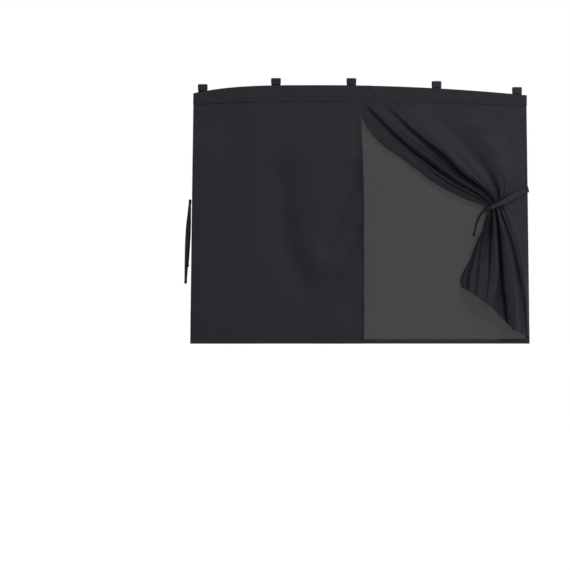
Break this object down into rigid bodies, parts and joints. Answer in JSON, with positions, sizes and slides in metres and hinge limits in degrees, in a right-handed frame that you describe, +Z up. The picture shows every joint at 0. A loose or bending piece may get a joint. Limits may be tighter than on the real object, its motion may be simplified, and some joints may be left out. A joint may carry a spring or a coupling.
{
  "type": "car side window sunshade",
  "caption": "Hanging side window sunshade: full-size mesh with two blackout curtains in front, one tied back, and magnetic tabs along the arched top edge.",
  "frame": {"origin": "centre of the back face of the middle tab's pocket, where its magnet clings to the door frame", "axes": "+X along the window to the right seen from the cabin, +Y out of the back face towards the door frame, +Z up"},
  "size_m": [0.7139, 0.0398, 0.5511],
  "materials": {
    "blackout_cloth": "matt tightly woven polyester with a faint sheen",
    "mesh_net": "fine open net",
    "binding_tape": "ribbed folded tape",
    "tie_ribbon": "soft flat ribbon of the curtain cloth",
    "tab_webbing": "dense webbing with a box of stitches",
    "magnet": "nickel plated"
  },
  "bodies": {
    "root": {"mesh_panel": "mesh_net", "side_binding_left": "binding_tape", "side_binding_right": "binding_tape", "mesh_bottom_hem": "binding_tape", "header_band": "blackout_cloth", "left_curtain": "blackout_cloth", "right_curtain": "blackout_cloth", "tie_ribbon_right": "tie_ribbon", "tie_ribbon_left": "tie_ribbon", "tab_1": "tab_webbing", "tab_2": "tab_webbing", "tab_3": "tab_webbing", "tab_4": "tab_webbing", "tab_5": "tab_webbing", "tab_magnet_1": "magnet", "tab_magnet_2": "magnet", "tab_magnet_3": "magnet", "tab_magnet_4": "magnet", "tab_magnet_5": "magnet"}
  },
  "joints": []
}
